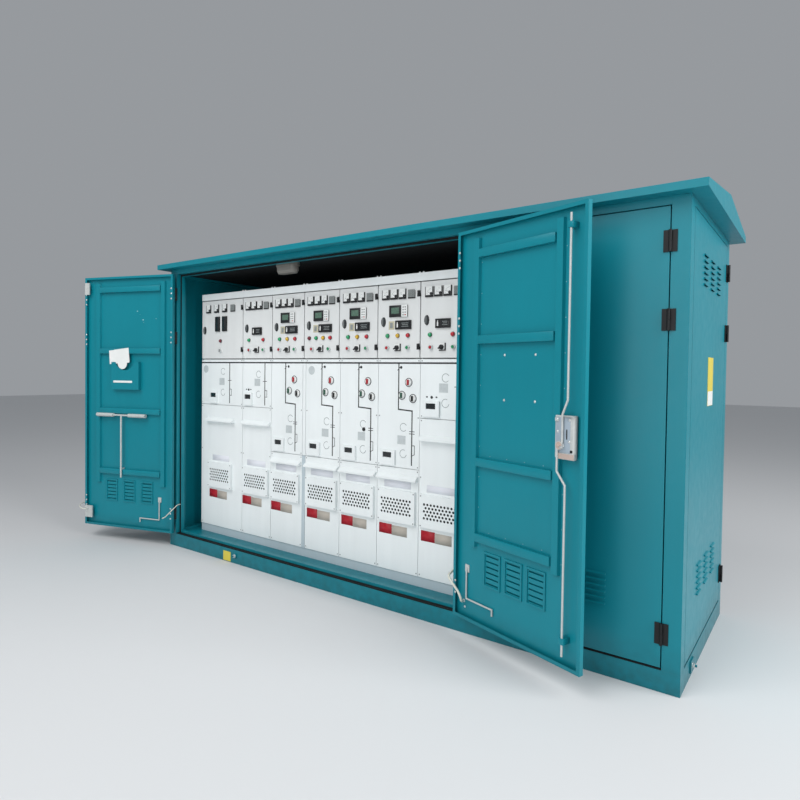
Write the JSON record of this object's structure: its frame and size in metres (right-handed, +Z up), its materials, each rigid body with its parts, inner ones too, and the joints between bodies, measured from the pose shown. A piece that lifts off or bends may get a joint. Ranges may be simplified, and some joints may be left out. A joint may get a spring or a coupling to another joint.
{
  "type": "outdoor switchgear cabinet",
  "caption": "Walk-up sheet metal switchgear cabinet with a gabled roof, folding and hinged doors standing open, and a row of ring main bays inside.",
  "frame": {"origin": "centre of the footprint, on the underside of the plinth", "axes": "+X along the front to the right, +Y from the front to the back, +Z up"},
  "size_m": [4.6857, 1.5876, 2.322],
  "materials": {
    "green_paint": "blue-green powder coat on folded sheet steel, satin",
    "inner_sheet": "dull black lining board",
    "zinc": "galvanised steel with faint spangle",
    "gasket_rubber": "black foam rubber strip",
    "black_trim": "black painted die castings and housings",
    "lamp_glass": "opal lamp cover",
    "marker_yellow": "bare yellow plate",
    "lead_cover": "cream sleeve over braided copper",
    "row_white": "light grey powder coat, satin"
  },
  "bodies": {
    "cabinet": {"base_frame": "green_paint", "floor_plate": "zinc", "posts": "green_paint", "front_header": "green_paint", "front_sill": "green_paint", "door_gaskets": "gasket_rubber", "left_wall": "green_paint", "left_end_door": "green_paint", "right_wall": "green_paint", "rear_frame": "green_paint", "rear_doors": "green_paint", "ceiling": "inner_sheet", "roof": "green_paint", "interior_lamp": "lamp_glass", "surface_hinges": "black_trim", "right_door": "green_paint", "left_door": "green_paint", "folding_door": "green_paint", "left_door_fittings": "zinc", "document_pocket": "green_paint", "earth_terminals": "zinc", "marker_plates": "marker_yellow", "earth_leads": "lead_cover", "row_plinth": "zinc", "row_left": "row_white", "row_right": "row_white", "low_voltage_housing": "row_white", "compartment_hinges": "black_trim", "mechanism_panels": "row_white", "cable_covers": "row_white", "vent_boxes": "row_white", "cable_hoods": "row_white", "operating_knobs": "black_trim", "position_windows": "row_white"},
    "middle_leaf": {"middle_door": "green_paint", "middle_door_hinges": "black_trim", "middle_door_lock": "zinc"},
    "end_leaf": {"right_end_door": "green_paint", "right_end_hinges": "black_trim", "right_marker_plate": "marker_yellow"},
    "compartment_leaf_1": {"compartment_door_1": "row_white", "instruments_1": "black_trim"},
    "compartment_leaf_2": {"compartment_door_2": "row_white", "instruments_2": "black_trim"},
    "compartment_leaf_3": {"compartment_door_3": "row_white", "instruments_3": "black_trim"},
    "compartment_leaf_4": {"compartment_door_4": "row_white", "instruments_4": "black_trim"},
    "compartment_leaf_5": {"compartment_door_5": "row_white", "instruments_5": "black_trim"},
    "compartment_leaf_6": {"compartment_door_6": "row_white", "instruments_6": "black_trim"},
    "compartment_leaf_7": {"compartment_door_7": "row_white", "instruments_7": "black_trim"}
  },
  "joints": [
    {"name": "middle_door_swing", "type": "hinge", "parent": "cabinet", "child": "middle_leaf", "pos_m": [0.7805, -0.592, 0], "axis": [0, 0, 1], "range_deg": [-162, 0]},
    {"name": "compartment_1_swing", "type": "hinge", "parent": "cabinet", "child": "compartment_leaf_1", "pos_m": [-1.262, -0.399, 0], "axis": [0, 0, 1], "range_deg": [0, 90]},
    {"name": "compartment_2_swing", "type": "hinge", "parent": "cabinet", "child": "compartment_leaf_2", "pos_m": [-0.936, -0.399, 0], "axis": [0, 0, 1], "range_deg": [0, 90]},
    {"name": "compartment_3_swing", "type": "hinge", "parent": "cabinet", "child": "compartment_leaf_3", "pos_m": [-0.61, -0.399, 0], "axis": [0, 0, 1], "range_deg": [0, 90]},
    {"name": "compartment_4_swing", "type": "hinge", "parent": "cabinet", "child": "compartment_leaf_4", "pos_m": [-0.284, -0.399, 0], "axis": [0, 0, 1], "range_deg": [0, 90]},
    {"name": "compartment_5_swing", "type": "hinge", "parent": "cabinet", "child": "compartment_leaf_5", "pos_m": [0.042, -0.399, 0], "axis": [0, 0, 1], "range_deg": [0, 90]},
    {"name": "compartment_6_swing", "type": "hinge", "parent": "cabinet", "child": "compartment_leaf_6", "pos_m": [0.368, -0.399, 0], "axis": [0, 0, 1], "range_deg": [0, 90]},
    {"name": "compartment_7_swing", "type": "hinge", "parent": "cabinet", "child": "compartment_leaf_7", "pos_m": [0.694, -0.399, 0], "axis": [0, 0, 1], "range_deg": [0, 90]},
    {"name": "end_door_swing", "type": "hinge", "parent": "cabinet", "child": "end_leaf", "pos_m": [1.912, 0.4975, 0], "axis": [0, 0, 1], "range_deg": [0, 162]}
  ]
}
